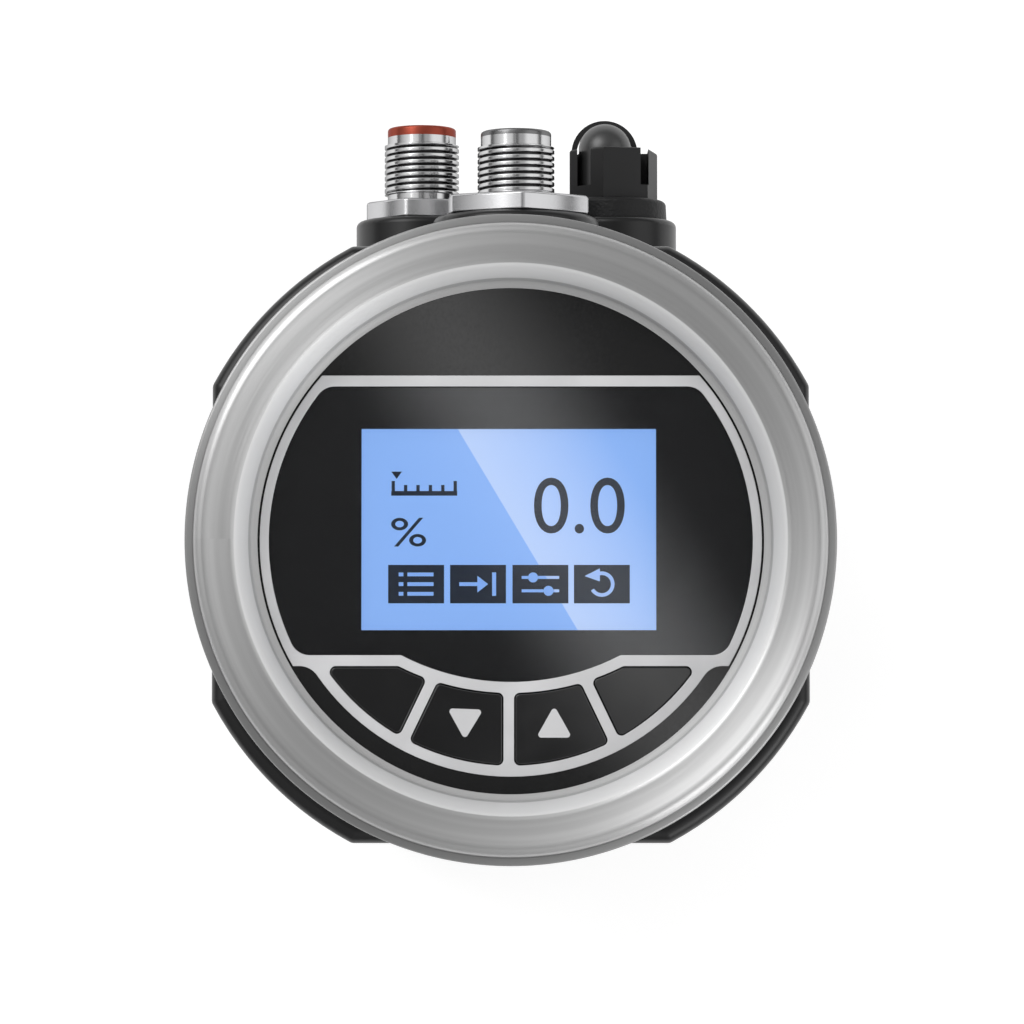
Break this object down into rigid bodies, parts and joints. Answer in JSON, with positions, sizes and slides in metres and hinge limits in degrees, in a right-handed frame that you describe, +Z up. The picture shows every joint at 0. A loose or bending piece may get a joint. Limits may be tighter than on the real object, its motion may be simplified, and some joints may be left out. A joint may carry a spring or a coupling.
{
  "type": "valve positioner",
  "caption": "Top mounted valve positioner: black housing, brushed bezel ring round a blue display and keys, threaded plugs, relief valve, air ports and travel spindle.",
  "frame": {"origin": "centre of the actuator socket, in the plane of its mouth", "axes": "+Z up the travel axis and out of the display, +Y out of the side with the plug connectors, +X to the right of the display"},
  "size_m": [0.096, 0.1178, 0.094],
  "materials": {
    "black_plastic": "fine matt",
    "black_textured": "rough textured",
    "panel_gloss": "smooth gloss",
    "display_glass": "clear tinted",
    "silver_trim": "satin silver",
    "brushed_stainless": "circular brushed",
    "adapter_aluminium": "turned",
    "stainless": "ground",
    "bronze": "sintered",
    "white_plastic": "moulded",
    "magnet": "plated",
    "sensor_case": "moulded",
    "sheet_steel": "pressed sheet",
    "block_plastic": "moulded",
    "valve_case": "moulded",
    "circuit_board": "solder mask",
    "header_plastic": "moulded",
    "lcd_blue": "backlit display",
    "key_rubber": "satin",
    "seal_rubber": "moulded",
    "screw_steel": "zinc plated",
    "connector_metal": "dark nickel plated",
    "red_ring": "anodised",
    "dark_ring": "dark plated",
    "insert_plastic": "moulded",
    "pin_gold": "gold plated",
    "spring_steel": "drawn wire",
    "nickel_brass": "nickel plated"
  },
  "bodies": {
    "positioner": {"adapter": "adapter_aluminium", "adapter_screws": "screw_steel", "base_plate": "black_plastic", "base_screws": "screw_steel", "base_seal": "seal_rubber", "bezel_seal": "seal_rubber", "block_screws": "screw_steel", "board_header": "header_plastic", "board_screws": "screw_steel", "bracket_screws": "screw_steel", "display_board": "circuit_board", "display_window": "display_glass", "exhaust_port": "nickel_brass", "exhaust_port_seal": "seal_rubber", "fill_valve": "valve_case", "front_panel": "panel_gloss", "housing": "black_plastic", "key_switches": "header_plastic", "lcd_cell": "lcd_blue", "lcd_frame": "white_plastic", "left_connector_insert": "insert_plastic", "left_connector_nut": "connector_metal", "left_connector_pins": "pin_gold", "left_connector_ring": "red_ring", "left_connector_shell": "connector_metal", "main_board": "circuit_board", "middle_connector_insert": "insert_plastic", "middle_connector_nut": "connector_metal", "middle_connector_pins": "pin_gold", "middle_connector_ring": "dark_ring", "middle_connector_shell": "connector_metal", "panel_seal": "seal_rubber", "pneumatic_block": "block_plastic", "relief_crown": "black_plastic", "relief_flange": "black_textured", "relief_spring": "spring_steel", "sensor_bracket": "sheet_steel", "set_screws": "screw_steel", "socket_seal": "seal_rubber", "spindle_bush": "bronze", "spindle_seal": "seal_rubber", "supply_port": "nickel_brass", "supply_port_seal": "seal_rubber", "travel_sensor": "sensor_case", "trim_frame": "silver_trim", "vent_valve": "valve_case"},
    "bezel": {"bezel_ring": "brushed_stainless"},
    "left_key": {"key_left": "key_rubber"},
    "down_key": {"key_down": "key_rubber"},
    "up_key": {"key_up": "key_rubber"},
    "right_key": {"key_right": "key_rubber"},
    "spindle": {"travel_spindle": "stainless", "travel_carriage": "white_plastic", "sensor_magnet": "magnet"},
    "poppet": {"relief_poppet": "black_plastic"}
  },
  "joints": [
    {"name": "bezel_twist", "type": "hinge", "parent": "positioner", "child": "bezel", "pos_m": [0, 0, 0.08], "axis": [0, 0, 1], "range_deg": [0, 30]},
    {"name": "left_key_press", "type": "slide", "parent": "positioner", "child": "left_key", "axis": [0, 0, -1], "range_m": [0, 0.0006], "stiffness_N_per_m": 500, "springref_m": -0.0006},
    {"name": "down_key_press", "type": "slide", "parent": "positioner", "child": "down_key", "axis": [0, 0, -1], "range_m": [0, 0.0006], "stiffness_N_per_m": 500, "springref_m": -0.0006},
    {"name": "up_key_press", "type": "slide", "parent": "positioner", "child": "up_key", "axis": [0, 0, -1], "range_m": [0, 0.0006], "stiffness_N_per_m": 500, "springref_m": -0.0006},
    {"name": "right_key_press", "type": "slide", "parent": "positioner", "child": "right_key", "axis": [0, 0, -1], "range_m": [0, 0.0006], "stiffness_N_per_m": 500, "springref_m": -0.0006},
    {"name": "spindle_travel", "type": "slide", "parent": "positioner", "child": "spindle", "axis": [0, 0, 1], "range_m": [0, 0.022]},
    {"name": "relief_lift", "type": "slide", "parent": "positioner", "child": "poppet", "axis": [0, 1, 0], "range_m": [0, 0.001], "stiffness_N_per_m": 300, "springref_m": -0.001, "deforming": ["relief_spring"]}
  ]
}
